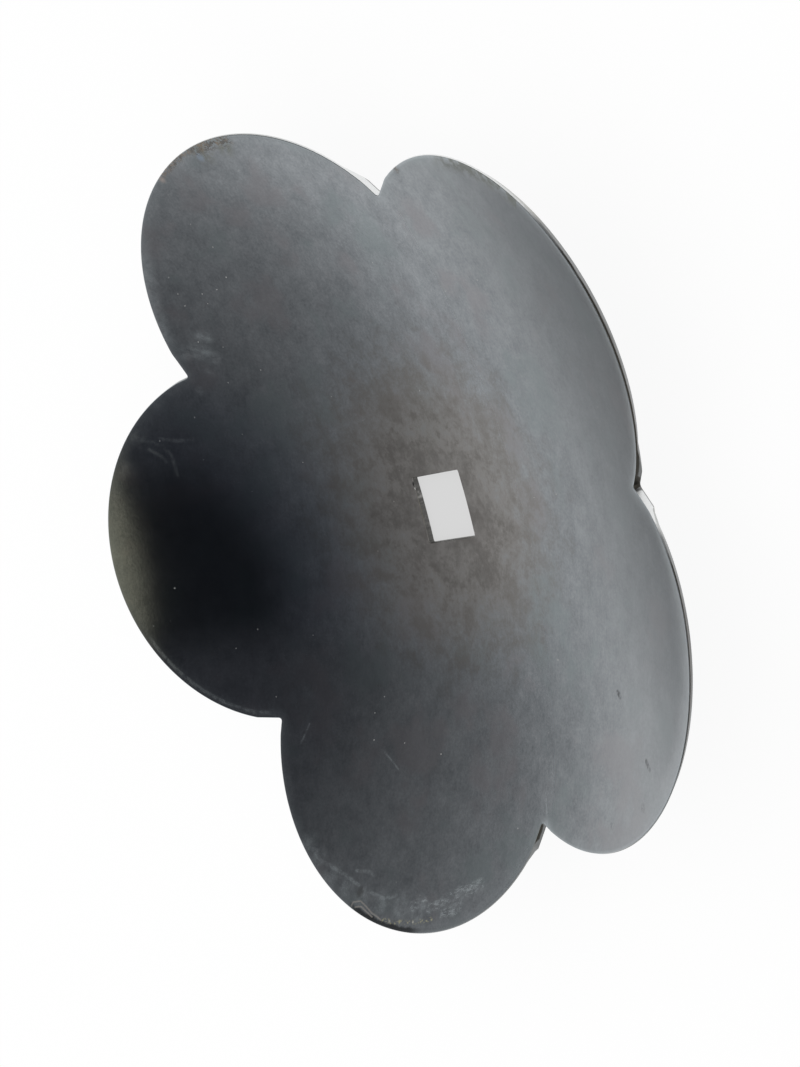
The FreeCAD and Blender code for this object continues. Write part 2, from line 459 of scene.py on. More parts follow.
class Graph:
    """Adds and joins the nodes of one tree. A value is a socket or what one is set to."""

    def __init__(self, tree):
        self.tree = tree

    def add(self, kind, inputs=None, **settings):
        made = self.tree.nodes.new(kind)
        for name, value in settings.items():
            setattr(made, name, value)
        for name, value in (inputs or {}).items():
            self.put(made.inputs[name], value)
        return made

    def put(self, socket, value):
        if isinstance(value, bpy.types.NodeSocket):
            self.tree.links.new(value, socket)
        else:
            socket.default_value = value

    def compute(self, kind, operation, values):
        """Outputs of a node that computes one operation from the values."""
        made = self.add(kind, operation=operation)
        for socket, value in zip(made.inputs, values):
            self.put(socket, value)
        return made.outputs

    def math(self, operation, *values):
        return self.compute("ShaderNodeMath", operation, values)[0]

    def vector(self, operation, *values):
        return self.compute("ShaderNodeVectorMath", operation, values)["Vector"]

    def measure(self, operation, *values):
        return self.compute("ShaderNodeVectorMath", operation, values)["Value"]

    def fold(self, operation, values):
        total = values[0]
        for value in values[1:]:
            total = self.math(operation, total, value)
        return total

    def times(self, *values):
        return self.fold("MULTIPLY", values)

    def most(self, values):
        return self.fold("MAXIMUM", values)

    def rise(self, value, low, high):
        """0 up to low and 1 from high on, or the reverse where low is the larger."""
        inputs = {
            "Value": value,
            "From Min": min(low, high),
            "From Max": max(low, high),
            "To Min": 0.0 if low < high else 1.0,
            "To Max": 1.0 if low < high else 0.0,
        }
        made = self.add("ShaderNodeMapRange", inputs, interpolation_type="SMOOTHSTEP")
        return made.outputs["Result"]

    def noise(self, place, scale, detail, roughness=0.5):
        inputs = {"Vector": place, "Scale": scale, "Detail": detail, "Roughness": roughness}
        return self.add("ShaderNodeTexNoise", inputs).outputs[0]

    def mix(self, factor, first, second):
        """Mix of two colours, each fixed or from a socket."""
        made = self.add("ShaderNodeMix", data_type="RGBA")
        for index, value in zip(MIX_INPUTS, (factor, first, second)):
            self.put(made.inputs[index], as_colour(value))
        return made.outputs[MIX_RESULT]

    def attribute(self, name):
        return self.add("ShaderNodeAttribute", attribute_name=name).outputs["Fac"]

    def stretched(self, place, turn, scale):
        """Coordinates turned about the disc's axis and scaled, to draw out a noise."""
        inputs = {"Vector": place, "Rotation": (0, 0, math.radians(turn)), "Scale": scale}
        return self.add("ShaderNodeMapping", inputs, vector_type="TEXTURE").outputs["Vector"]

    def ramp(self, value, stops):
        """Colour between stops, each a position and its colour."""
        made = self.add("ShaderNodeValToRGB", {"Fac": value})
        elements = made.color_ramp.elements
        elements.remove(elements[-1])
        elements[0].position = stops[0][0]
        elements[0].color = as_colour(stops[0][1])
        for position, colour in stops[1:]:
            elements.new(position).color = as_colour(colour)
        return made.outputs["Color"]


class Steel(Graph):
    """A steel material: its shader, the coordinates of its detail and its marks. Marks are
    placed by azimuth in degrees and radius in millimetres, with millimetres for their size."""

    def __init__(self, name):
        self.material = bpy.data.materials.new(name)
        self.material.use_nodes = True
        super().__init__(self.material.node_tree)
        self.shader = self.tree.nodes["Principled BSDF"]
        self.shader.inputs["Metallic"].default_value = 1.0
        self.place = self.add("ShaderNodeTexCoord").outputs["Object"]
        self.plan = self.vector("MULTIPLY", self.place, (1, 1, 0))
        self.radius = self.measure("LENGTH", self.plan)

    def spot(self, azimuth, radius, size, soft=0.5):
        """Round mark on the plan, fading over the outer share of its size."""
        away = self.measure("DISTANCE", self.plan, (*on_plan(azimuth, radius), 0))
        return self.rise(away, size / 1000, size / 1000 * (1 - soft))

    def stroke(self, start, end, width):
        """Thin line on the plan between two places given by azimuth and radius."""
        first = Vector((*on_plan(*start), 0))
        run = Vector((*on_plan(*end), 0)) - first
        offset = self.vector("SUBTRACT", self.plan, tuple(first))
        share = self.measure("DOT_PRODUCT", offset, tuple(run / run.length_squared))
        share = self.math("MINIMUM", self.math("MAXIMUM", share, 0.0), 1.0)
        foot = self.add("ShaderNodeVectorMath", {"Scale": share}, operation="SCALE")
        foot.inputs[0].default_value = tuple(run)
        away = self.measure("DISTANCE", offset, foot.outputs["Vector"])
        edge = width / 1000
        return self.rise(away, edge, edge / 3)

    def sector(self, first, last, soft=1.5):
        """1 between two azimuths in degrees, less than half a turn apart."""
        sides = []
        reach = TIP_DIAMETER / 2 * math.sin(math.radians(soft))
        for azimuth, sign in ((first, 1), (last, -1)):
            turn = math.radians(azimuth)
            across = (-math.sin(turn) * sign, math.cos(turn) * sign, 0)
            sides.append(self.rise(self.measure("DOT_PRODUCT", self.plan, across), -reach, reach))
        return self.times(*sides)

    def scratches(self, turns):
        """Fine scratches in several directions, only where patches of wear lie."""
        lines = []
        for count, turn in enumerate(turns):
            moved = self.vector("ADD", self.place, (0.31 * count, 0.17 * count, 0))
            line = self.noise(self.stretched(moved, turn, (40, 1, 1)), 700, 0)
            patch = self.noise(moved, 24, 1)
            lines.append(self.times(self.rise(line, 0.66, 0.76), self.rise(patch, 0.45, 0.60)))
        return self.most(lines)

    def streaks(self, across, rates):
        """Noise in streaks over a cut, by its rates along the rim and across it, per metre."""
        travel = self.times(self.attribute("rim_travel"), rates[0])
        where = self.add("ShaderNodeCombineXYZ", {"X": travel, "Y": self.times(across, rates[1])})
        return self.noise(where.outputs[0], 1.0, 3, 0.6)

    def from_centre(self):
        return self.measure("DISTANCE", self.place, tuple(CENTRE))

    def finish(self, colour, roughness, height, depth, metal=None):
        bump = self.add("ShaderNodeBump", {"Height": height, "Distance": depth, "Strength": 1.0})
        self.put(self.shader.inputs["Normal"], bump.outputs["Normal"])
        self.put(self.shader.inputs["Base Color"], colour)
        self.put(self.shader.inputs["Roughness"], roughness)
        if metal is not None:
            self.put(self.shader.inputs["Metallic"], metal)
        return self.material


# Colours of the steel and of what lies on it, and of the painted light, glints and highlights on it
DARK_STEEL = (0.184, 0.201, 0.215)
PALE_STEEL = (0.372, 0.394, 0.411)
BROWN_STEEL = (0.266, 0.252, 0.235)
PALE_BROWN = (0.348, 0.332, 0.312)
TEAL_STEEL = (0.262, 0.305, 0.312)
PLUM_STEEL = (0.300, 0.289, 0.302)
# painted light: the paler side of the hollow face
PAINTED_LIGHT_STEEL = (0.500, 0.520, 0.535)
# also the colour of the painted highlight by the first lobe's rim
OLD_OIL_AND_HIGHLIGHT = (0.60, 0.66, 0.68)
# colour of grit, and also of painted glints by the axle hole
GRIT_AND_GLINT = (0.75, 0.74, 0.70)
RUST_DARK = (0.062, 0.050, 0.038)
RUST_WARM = (0.21, 0.155, 0.105)
OLIVE_STAIN = (0.20, 0.205, 0.165)
YELLOW_OIL = (0.66, 0.63, 0.42)
PALE_LINE = (0.62, 0.58, 0.53)
TEMPER_BLUE = (0.34, 0.42, 0.52)
# painted highlight: pale pink
PINK_HIGHLIGHT_TINT = (0.74, 0.62, 0.55)
BLACK_SCALE = (0.030, 0.030, 0.031)
BLUED_STEEL = (0.090, 0.094, 0.096)
EDGE_SCALE = ((0.020, 0.019, 0.017), (0.070, 0.066, 0.056))
CUT_STEEL = ((0.42, 0.43, 0.43), (0.88, 0.89, 0.88))
# painted glint: near-white colour on the cut edge
PAINTED_CUT_GLINT = (0.96, 0.97, 0.97)
DARK_BURR = (0.120, 0.120, 0.117)
HOLE_STEEL = ((0.060, 0.059, 0.057), (0.27, 0.265, 0.255))
BARED_HOLE = (0.55, 0.54, 0.52)
GROUND_STEEL = ((0.30, 0.31, 0.30), (0.66, 0.67, 0.65))
GROUND_STAIN = (0.30, 0.285, 0.22)

GLOSSY_SHEET = 0.115      # roughness on the first lobe
DULL_SHEET = 0.31         # and across the hole from it
DULLED_BY_MARKS = 0.28    # roughness that oil, rust and scorching add
BACK_ROUGHNESS = 0.16     # least on the back
BACK_RANGE = 0.25         # and how much its mottling adds
BEVEL_ROUGHNESS = 0.26    # least on the bevel
BEVEL_RANGE = 0.18        # and how much its patches add
CUT_ROUGHNESS = 0.42
HOLE_ROUGHNESS = 0.5
OIL_COVER = 0.7           # share of the steel's colour that dried oil hides
OIL_MATT = 0.10           # and of its metal shine
ROLLING_TURN = 166        # azimuth of the plate's rolling direction
SCUFF_TURN = 108          # and of the scuffs on the second lobe
SMUDGE_TURN = 243         # and of the pale smudges
SHEET_BUMP = 0.0002       # depth of the bump of the sheet
CUT_BUMP = 0.0001         # and of the cut and ground surfaces
CUT_STREAKS = (2000.0, 250.0)   # per metre, along the cut edge and through it
GRIND_STREAKS = (2600.0, 60.0)  # and along the bevel and across it
GRIT_CELLS = 100.0        # cells to a metre that may hold a grain of grit
GRIT_NONE = 0.70          # share of them that hold none
GRIT_LEAST = 0.026        # size of the smallest grain, in cells
GRIT_RANGE = 0.032        # and how much larger the largest is

# How much each layer counts in the sheet's tone, and where the tone starts
TONE_START = -0.80
CLOUD_SHARE = 0.30
MOTTLE_SHARE = 1.40
GRAIN_SHARE = 0.65
ROLLING_SHARE = 0.25

# How uneven the edges of the stains, the marks at the rim, the rust and the heat are, in metres
STAIN_UNEVEN = 0.16
MARGIN_UNEVEN = 0.005
RUST_UNEVEN = 0.010
HEAT_UNEVEN = 0.012

# Where each of these is none and where it is full, in metres: by y across the blade, by
# radius, and by distance from the rim
# The first pair is painted light: the hollow face is painted paler towards minus y
PAINTED_LIGHT_SIDE = (-0.07, -0.24)
DULL_SIDE = (0.08, -0.14)
BROWN_WITHIN = (0.215, 0.130)
RUSTY_WITHIN = (0.145, 0.120)
WORN_RIM = (0.0022, 0.0005)
OILY_RIM = (0.0130, 0.0020)
SCORCHED_RIM = (0.0068, 0.0048)
# The next two place the painted highlight by the first lobe's rim
HIGHLIGHT_RIM = (0.0060, 0.0040)
HIGHLIGHT_FROM = (0.0012, 0.0030)
PALE_RIM = (0.0130, 0.0030)
OLIVE_RIM = (0.0175, 0.0090)
WIDE_RUST = (0.0150, 0.0090)
NARROW_RUST = (0.0105, 0.0070)
HEATED_RIM = (0.020, 0.010)

# Marks on the hollow face: places by azimuth in degrees and radius in millimetres, and for
# round marks their size in millimetres
PLACED_GRIT = (
    (219.8, 139.3, 0.6), (144.1, 163.8, 0.5), (147.0, 179.7, 0.6), (155.6, 170.1, 0.5),
    (167.5, 168.0, 0.6), (94.5, 243.0, 0.6), (28.9, 213.8, 0.6), (32.7, 215.2, 0.5),
    (38.3, 236.6, 0.4), (35.5, 222.4, 0.5), (39.8, 229.8, 0.5), (36.7, 216.7, 0.4),
    (45.6, 214.5, 0.5), (44.0, 197.4, 0.4),
)
OIL_FILM = (
    (144.5, 261, 10), (147.8, 266, 11), (151.2, 269, 12), (154.6, 270, 11), (158.1, 270, 11),
    (161.9, 269, 12), (165.9, 266, 13), (169.5, 264, 12),
)
DRYING_LINE = (
    (
        (145.8, 263.3), (148.1, 264.9), (150.8, 264.0), (153.6, 263.5), (156.6, 264.7),
        (159.4, 265.0), (162.3, 264.8), (164.3, 260.2),
    ),
    ((145.2, 263.5), (146.6, 261.4)),
    ((155.1, 257.7), (157.5, 254.4), (158.5, 255.1)),
)
SCUFFS = (
    ((171.7, 261.4), (173.7, 257.8), (175.2, 252.2), (177.4, 249.6), (179.2, 248.0), (182.0, 244.1)),
    ((174.5, 262.0), (176.6, 260.2), (177.6, 257.0)),
    ((168.2, 262.5), (170.2, 259.5)),
)
WAVY_LINE = (
    (
        (156.9, 277.4), (156.9, 275.0), (158.1, 272.3), (159.4, 273.5), (160.8, 275.4),
        (162.4, 276.3), (162.9, 276.9),
    ),
    ((157.6, 276.9), (158.6, 274.9), (159.8, 276.1), (161.2, 277.4)),
)
DROP_LINE = (((163.1, 276.7), (165.3, 275.2), (167.5, 273.1), (169.9, 270.5), (172.4, 267.1)),)
BRIGHT_DROPS = ((164.6, 275.6, 1.1), (169.0, 271.5, 1.2))
# Painted glints beside the nick at a corner of the axle hole
CORNER_GLINTS = ((38.4, 28.0, 1.3), (55.4, 27.4, 1.4))
SMUDGES = (
    (49.2, 220.7, 9), (47.9, 214.4, 10), (47.3, 207.4, 10), (47.2, 200.5, 8),
    (44.2, 214.4, 7), (43.7, 209.0, 7), (50.3, 201.7, 7), (55.8, 207.7, 5),
    (199, 222, 9),
)
THIN_FILM = ((73, 263, 15), (67, 252, 15), (61, 238, 10))
SMEARS = (
    ((67.9, 247.4), (68.1, 239.8), (68.6, 232.9), (70.2, 226.8), (72.0, 224.4), (74.0, 223.7)),
    ((67.3, 234.1), (67.3, 222.0), (66.5, 211.0)),
    ((69.5, 242.0), (70.6, 234.0), (71.6, 231.0)),
)
WIPED_LINES = (
    ((151, 182.3), (156, 187.8)),
    ((132.3, 217), (131.2, 203)),
    ((200, 205), (199.3, 219)),
)
OLIVE_SPOTS = ((7, 267, 9), (11, 271, 12))

# Widths of the lines in millimetres
DRYING_WIDTH = 1.7
SCUFF_WIDTH = 5.0
WAVY_WIDTH = 0.75
DROPS_WIDTH = 1.9
SMEAR_WIDTH = 2.0
WIPED_WIDTH = 1.0

# Single round marks, with their softness as well
SCORCHED_SPOT = (157.3, 267.8, 5, 0.8)
CORNER_NICK = (50.0, 29.1, 2.6, 0.5)
BLUE_SPOT = (12.1, 271.0, 4.2, 0.8)
# The pink spot is a painted highlight near the fifth lobe's tip
PINK_HIGHLIGHT_SPOT = (20.6, 277.6, 3.6, 0.9)
RUST_SPOT = (334.6, 240, 4.5, 0.9)

# Bruises: long ones by start, end and width, round ones by place, size and softness, and the
# strength of each
LONG_BRUISES = (
    ((231.1, 199.1), (230.9, 202.4), 2.4, 1.0),
    ((229.0, 247.4), (228.9, 253.0), 2.2, 0.8),
)
ROUND_BRUISES = (
    (224.2, 262.5, 3.6, 0.9, 0.6), (215.7, 249.2, 3.0, 0.9, 0.5), (20.6, 243.0, 2.2, 0.8, 0.7),
)


class Sheet(Steel):
    """The hardened sheet: uneven in tone from clouds, mottling, grain and rolling lines."""

    def __init__(self, name):
        super().__init__(name)
        cloud = self.noise(self.place, 9, 1, 0.55)
        self.mottle = self.noise(self.place, 60, 4, 0.78)
        self.grain = self.noise(self.place, 560, 1, 0.7)
        lines = self.noise(self.stretched(self.place, ROLLING_TURN, (18, 1, 1)), 420, 1, 0.6)
        tone = self.math("MULTIPLY_ADD", cloud, CLOUD_SHARE, TONE_START)
        tone = self.math("MULTIPLY_ADD", self.mottle, MOTTLE_SHARE, tone)
        tone = self.math("MULTIPLY_ADD", self.grain, GRAIN_SHARE, tone)
        tone = self.math("MULTIPLY_ADD", lines, ROLLING_SHARE, tone)
        self.colour = self.mix(tone, DARK_STEEL, PALE_STEEL)
        slow = self.noise(self.vector("ADD", self.place, (1.7, 0.4, 0)), 18, 3, 0.65)
        self.cover(self.rise(slow, 0.52, 0.68), TEAL_STEEL, 0.55)
        self.cover(self.rise(slow, 0.47, 0.33), PLUM_STEEL, 0.55)
        self.rim = self.attribute("rim_distance")
        self.broken = self.noise(self.place, 150, 3, 0.7)
        self.specks = self.noise(self.place, 520, 1, 0.65)
        self.dull = []
        self.matt = []

    def cover(self, mask, colour, share=1.0):
        self.colour = self.mix(self.times(mask, share), self.colour, colour)

    def spots(self, places, soft=0.5):
        """Round marks, each by its azimuth, radius and size."""
        return self.most([self.spot(*place, soft) for place in places])

    def strokes(self, paths, width):
        """Lines along several paths, each a row of places by azimuth and radius."""
        lines = []
        for path in paths:
            lines += [self.stroke(start, end, width) for start, end in zip(path, path[1:])]
        return self.most(lines)

    def broken_up(self, mask, low, high, share=1.0):
        """What is left of a mark where the noise of broken edges rises from low to high."""
        return self.times(mask, self.rise(self.broken, low, high), share)

    def ragged_rim(self, uneven):
        """Distance from the rim, with up to about uneven added."""
        return self.math("MULTIPLY_ADD", self.broken, uneven, self.rim)

    def oil(self, mask):
        """Dried oil: pale, dull and a little matt. It also lays on the painted highlight by the
        first lobe's rim.
        """
        self.cover(mask, OLD_OIL_AND_HIGHLIGHT, OIL_COVER)
        self.dull.append(mask)
        self.matt.append(self.times(mask, OIL_MATT))


def stained(sheet):
    """Brown round the hole where the spool sat, grit all over, and a worn line at the rim."""
    reach = sheet.math("MULTIPLY_ADD", sheet.mottle, STAIN_UNEVEN, sheet.radius)
    brown = sheet.mix(sheet.rise(sheet.mottle, 0.38, 0.62), BROWN_STEEL, PALE_BROWN)
    sheet.cover(sheet.rise(reach, *BROWN_WITHIN), brown, 0.85)
    sheet.cover(sheet.broken_up(sheet.rise(reach, *RUSTY_WITHIN), 0.62, 0.40), RUST_DARK, 0.18)
    cells = sheet.add("ShaderNodeTexVoronoi", {"Vector": sheet.place, "Scale": GRIT_CELLS})
    pick = sheet.add("ShaderNodeSeparateColor", {"Color": cells.outputs["Color"]}).outputs
    size = sheet.math("MULTIPLY_ADD", pick[1], GRIT_RANGE, GRIT_LEAST)
    near = sheet.math("LESS_THAN", cells.outputs["Distance"], size)
    grit = sheet.times(near, sheet.math("GREATER_THAN", pick[0], GRIT_NONE), 0.34)
    grit = sheet.math("MAXIMUM", grit, sheet.times(sheet.spots(PLACED_GRIT), 0.6))
    sheet.cover(grit, GRIT_AND_GLINT)
    sheet.matt.append(grit)
    sheet.cover(sheet.rise(sheet.rim, *WORN_RIM), OLD_OIL_AND_HIGHLIGHT, 0.25)
    sheet.oil(sheet.times(sheet.rise(sheet.ragged_rim(MARGIN_UNEVEN), *OILY_RIM), 0.20))


def scuffed(sheet):
    """The second lobe's margin: an oil film and its drying line, scuffs, a scorched edge with
    a wavy pale line in it, and a row of oil drops."""
    sheet.oil(sheet.broken_up(sheet.spots(OIL_FILM, 0.8), 0.30, 0.66, 0.42))
    sheet.oil(sheet.broken_up(sheet.strokes(DRYING_LINE, DRYING_WIDTH), 0.34, 0.60, 0.44))
    brushed = sheet.noise(sheet.stretched(sheet.place, SCUFF_TURN, (3, 1, 1)), 520, 4, 0.75)
    patchy = sheet.noise(sheet.place, 200, 3, 0.65)
    brushed = sheet.times(sheet.rise(brushed, 0.36, 0.70), sheet.rise(patchy, 0.32, 0.56))
    sheet.oil(sheet.times(sheet.strokes(SCUFFS, SCUFF_WIDTH), brushed, 0.92))
    scorch = sheet.rise(sheet.ragged_rim(MARGIN_UNEVEN), *SCORCHED_RIM)
    scorch = sheet.times(scorch, sheet.sector(157, 170))
    sheet.cover(scorch, BLACK_SCALE, 0.80)
    sheet.dull.append(sheet.times(scorch, 0.6))
    sheet.cover(sheet.spot(*SCORCHED_SPOT), RUST_DARK, 0.4)
    wavy_line = sheet.strokes(WAVY_LINE, WAVY_WIDTH)
    sheet.cover(wavy_line, PALE_LINE, 0.60)
    sheet.matt.append(sheet.times(wavy_line, OIL_MATT))
    drops = sheet.strokes(DROP_LINE, DROPS_WIDTH)
    drops = sheet.times(drops, sheet.rise(sheet.specks, 0.52, 0.64))
    sheet.cover(drops, YELLOW_OIL, 0.8)
    bright = sheet.spots(BRIGHT_DROPS, 0.7)
    sheet.cover(bright, GRIT_AND_GLINT, 0.8)
    sheet.matt.append(sheet.times(sheet.math("MAXIMUM", drops, bright), 0.12))


def painted_rim_highlight(sheet):
    """A painted highlight: a paler line beside the first lobe's rim, next to the second lobe,
    laid on as dried oil.
    """
    # Painted highlight, laid on as pale dried oil
    line = sheet.times(sheet.rise(sheet.rim, *HIGHLIGHT_RIM), sheet.rise(sheet.rim, *HIGHLIGHT_FROM))
    line = sheet.times(line, sheet.sector(101, 127))
    sheet.oil(sheet.broken_up(line, 0.30, 0.55, 0.5))


def nicked(sheet):
    """A burr at one corner of the axle hole: a dark nick with painted glints beside it."""
    sheet.cover(sheet.spot(*CORNER_NICK), BLACK_SCALE, 0.9)
    # Painted glints: two pale spots beside the nick
    glints = sheet.spots(CORNER_GLINTS, 0.6)
    sheet.cover(glints, GRIT_AND_GLINT, 0.8)
    sheet.matt.append(sheet.times(glints, 0.4))


def smudged(sheet):
    """Pale smudges by two notches, a thin film with smears and a paler rim beside the first
    of them, and a few wiped lines."""
    brushed = sheet.noise(sheet.stretched(sheet.place, SMUDGE_TURN, (4, 1, 1)), 170, 3, 0.6)
    sheet.oil(sheet.times(sheet.spots(SMUDGES, 0.9), sheet.rise(brushed, 0.28, 0.68), 0.56))
    sheet.oil(sheet.broken_up(sheet.spots(THIN_FILM, 1.0), 0.20, 0.70, 0.30))
    margin = sheet.times(sheet.rise(sheet.rim, *PALE_RIM), sheet.sector(34, 49, 2.5))
    sheet.oil(sheet.broken_up(margin, 0.20, 0.60, 0.45))
    sheet.oil(sheet.broken_up(sheet.strokes(SMEARS, SMEAR_WIDTH), 0.36, 0.60, 0.22))
    sheet.oil(sheet.broken_up(sheet.strokes(WIPED_LINES, WIPED_WIDTH), 0.35, 0.55, 0.4))


def bruised(sheet):
    """Small dark pits and bruises."""
    bruises = [
        sheet.times(sheet.stroke(start, end, width), share)
        for start, end, width, share in LONG_BRUISES
    ]
    bruises += [sheet.times(sheet.spot(*place), share) for *place, share in ROUND_BRUISES]
    sheet.cover(sheet.broken_up(sheet.most(bruises), 0.32, 0.50), BLACK_SCALE, 0.70)


def rusted(sheet):
    """Rust in a narrow strip along the fifth lobe's rim, with olive and blue beside it, an
    olive streak along the fourth lobe's and a spot between the two."""
    strip = sheet.ragged_rim(RUST_UNEVEN)
    streak = sheet.times(sheet.rise(strip, *OLIVE_RIM), sheet.sector(305, 324, 2.5))
    haze = sheet.broken_up(sheet.most([sheet.spots(OLIVE_SPOTS, 0.9), streak]), 0.36, 0.58, 0.6)
    sheet.cover(haze, OLIVE_STAIN)
    sheet.cover(sheet.spot(*BLUE_SPOT), TEMPER_BLUE, 0.60)
    # Painted highlight: a pale pink spot near the fifth lobe's tip
    sheet.cover(sheet.spot(*PINK_HIGHLIGHT_SPOT), PINK_HIGHLIGHT_TINT, 0.50)
    wide = sheet.times(sheet.rise(strip, *WIDE_RUST), sheet.sector(5, 12.5, 1.0))
    narrow = sheet.times(sheet.rise(strip, *NARROW_RUST), sheet.sector(10, 20, 0.6))
    rust = sheet.most([wide, narrow, sheet.times(sheet.spot(*RUST_SPOT), 0.7)])
    rust = sheet.times(rust, sheet.rise(sheet.specks, 0.36, 0.54))
    tone = sheet.mix(sheet.rise(sheet.broken, 0.42, 0.6), RUST_DARK, RUST_WARM)
    sheet.cover(rust, tone, 0.75)
    sheet.dull += [rust, haze]
    sheet.matt.append(sheet.times(rust, 0.6))


# Parts of the hollow face that carry marks, among them painted highlights and glints: each by
# its wear and the azimuths and radii (in millimetres) of its faces
WORN_PARTS = (
    (scuffed, 139, 186, 234, 290),
    (painted_rim_highlight, 98, 128, 220, 290),
    (nicked, 40, 58, 20, 42),
    (rusted, 0, 28, 240, 290),
    (rusted, 309, 340, 228, 290),
    (bruised, 206, 238, 190, 290),
    (bruised, 17, 25, 235, 251),
    (smudged, 31, 82, 186, 290),
    (smudged, 128, 136, 194, 226),
    (smudged, 146, 160, 174, 196),
    (smudged, 190, 205, 196, 236),
)


def hollow_sheet(wear=None):
    """The hollow face, painted paler on the camera's side, with the wear of one of its parts;
    some of these hold painted highlights and glints.
    """
    sheet = Sheet("hardened_sheet" + (f"_{wear.__name__}" if wear else ""))
    across = sheet.add("ShaderNodeSeparateXYZ", {"Vector": sheet.place}).outputs["Y"]
    # Painted light: the side towards minus y, nearer the camera, is painted paler
    sheet.cover(sheet.rise(across, *PAINTED_LIGHT_SIDE), PAINTED_LIGHT_STEEL, 0.43)
    stained(sheet)
    if wear:
        wear(sheet)
    dulled = sheet.rise(across, *DULL_SIDE)
    roughness = sheet.math("MULTIPLY_ADD", dulled, DULL_SHEET - GLOSSY_SHEET, GLOSSY_SHEET)
    roughness = sheet.math("MULTIPLY_ADD", sheet.most(sheet.dull), DULLED_BY_MARKS, roughness)
    height = sheet.math("MULTIPLY_ADD", sheet.mottle, 0.22, sheet.times(sheet.grain, 0.16))
    height = sheet.times(height, sheet.math("MULTIPLY_ADD", dulled, 0.65, 0.35))
    metal = sheet.math("SUBTRACT", 1.0, sheet.most(sheet.matt))
    return sheet.finish(sheet.colour, roughness, height, SHEET_BUMP, metal)


def back_sheet():
    """The convex back: the same sheet, duller, scuffed by handling and heated near the rim."""
    sheet = Sheet("hardened_sheet_back")
    sheet.cover(sheet.scratches((35, 80, 150)), OLD_OIL_AND_HIGHLIGHT, 0.4)
    sheet.cover(sheet.rise(sheet.ragged_rim(HEAT_UNEVEN), *HEATED_RIM), BROWN_STEEL, 0.5)
    roughness = sheet.math("MULTIPLY_ADD", sheet.mottle, BACK_RANGE, BACK_ROUGHNESS)
    height = sheet.math("MULTIPLY_ADD", sheet.mottle, 0.4, sheet.times(sheet.grain, 0.2))
    return sheet.finish(sheet.colour, roughness, height, SHEET_BUMP)


def cut_depth(steel):
    """How far through the sheet a point of the cut lies, from 0 at the hollow face to 1."""
    return steel.math("MULTIPLY_ADD", steel.from_centre(), 1 / THICKNESS, -DISH_RADIUS / THICKNESS)


def scaled(steel, lines, colour):
    """Black furnace scale over the cut steel, with painted shadow laid on as scale at two notch
    roots. It starts at the hollow face and thins out towards the back."""
    left = steel.attribute("scale_shadow_and_glint")
    colour = steel.mix(steel.times(steel.rise(left, 0.25, 0.50), 0.8), colour, BLUED_STEEL)
    cover = steel.math("MULTIPLY_ADD", steel.noise(steel.place, 95, 3, 0.65), 0.6, left)
    cover = steel.math("SUBTRACT", cover, cut_depth(steel))
    return steel.mix(steel.rise(cover, 0.70, 0.95), colour, steel.mix(lines, *EDGE_SCALE))


def cut_edge():
    """The cut edge: streaked bright steel, whitened by a painted glint where least scale is left,
    under what is left of the black furnace scale with its painted shadow at two notch roots, and
    a dark burr towards the back."""
    steel = Steel("cut_edge")
    lines = steel.streaks(steel.from_centre(), CUT_STREAKS)
    # Painted glint: where least scale is left, the bare steel is whitened almost to white
    bright = steel.rise(steel.attribute("scale_shadow_and_glint"), 0.30, 0.22)
    bare = steel.mix(steel.times(bright, 0.7), steel.mix(lines, *CUT_STEEL), PAINTED_CUT_GLINT)
    burr = steel.times(steel.rise(cut_depth(steel), 0.80, 0.92), 0.8)
    colour = steel.mix(burr, scaled(steel, lines, bare), DARK_BURR)
    return steel.finish(colour, CUT_ROUGHNESS, lines, CUT_BUMP)


def hole_wall():
    """The punched walls of the axle hole, dark with scale."""
    steel = Steel("hole_wall")
    lines = steel.noise(steel.stretched(steel.place, 0, (1, 1, 9)), 900, 2, 0.6)
    bared = steel.rise(steel.noise(steel.place, 150, 3, 0.6), 0.56, 0.68)
    colour = steel.mix(steel.times(bared, 0.7), steel.mix(lines, *HOLE_STEEL), BARED_HOLE)
    return steel.finish(colour, HOLE_ROUGHNESS, lines, CUT_BUMP)


def ground_bevel():
    """The bevel: bright steel with grinding lines across it, dulled here and there."""
    steel = Steel("ground_bevel")
    lines = steel.streaks(steel.attribute("rim_distance"), GRIND_STREAKS)
    patches = steel.noise(steel.place, 40, 4, 0.6)
    stain = steel.times(steel.rise(patches, 0.52, 0.70), 0.6)
    colour = steel.mix(stain, steel.mix(lines, *GROUND_STEEL), GROUND_STAIN)
    roughness = steel.math("MULTIPLY_ADD", patches, BEVEL_RANGE, BEVEL_ROUGHNESS)
    # Scale as on the cut edge, with the same painted shadow at two notch roots
    return steel.finish(scaled(steel, lines, colour), roughness, lines, CUT_BUMP)


# The hollow face and its broken corner at the rim take a hollow sheet instead
ZONE_MATERIALS = {"land": cut_edge, "bevel": ground_bevel, "back": back_sheet, "hole": hole_wall}


def wear_at(point):
    """Which wear, with its painted highlights, the hollow face carries at a point, if any."""
    azimuth = math.degrees(math.atan2(point.y, point.x)) % 360
    radius = math.hypot(point.x, point.y) * 1000
    for kind, first, last, inner, outer in WORN_PARTS:
        if first <= azimuth <= last and inner <= radius <= outer:
            return kind
    return None


def in_scene(name, data):
    made = bpy.data.objects.new(name, data)
    bpy.context.scene.collection.objects.link(made)
    return made


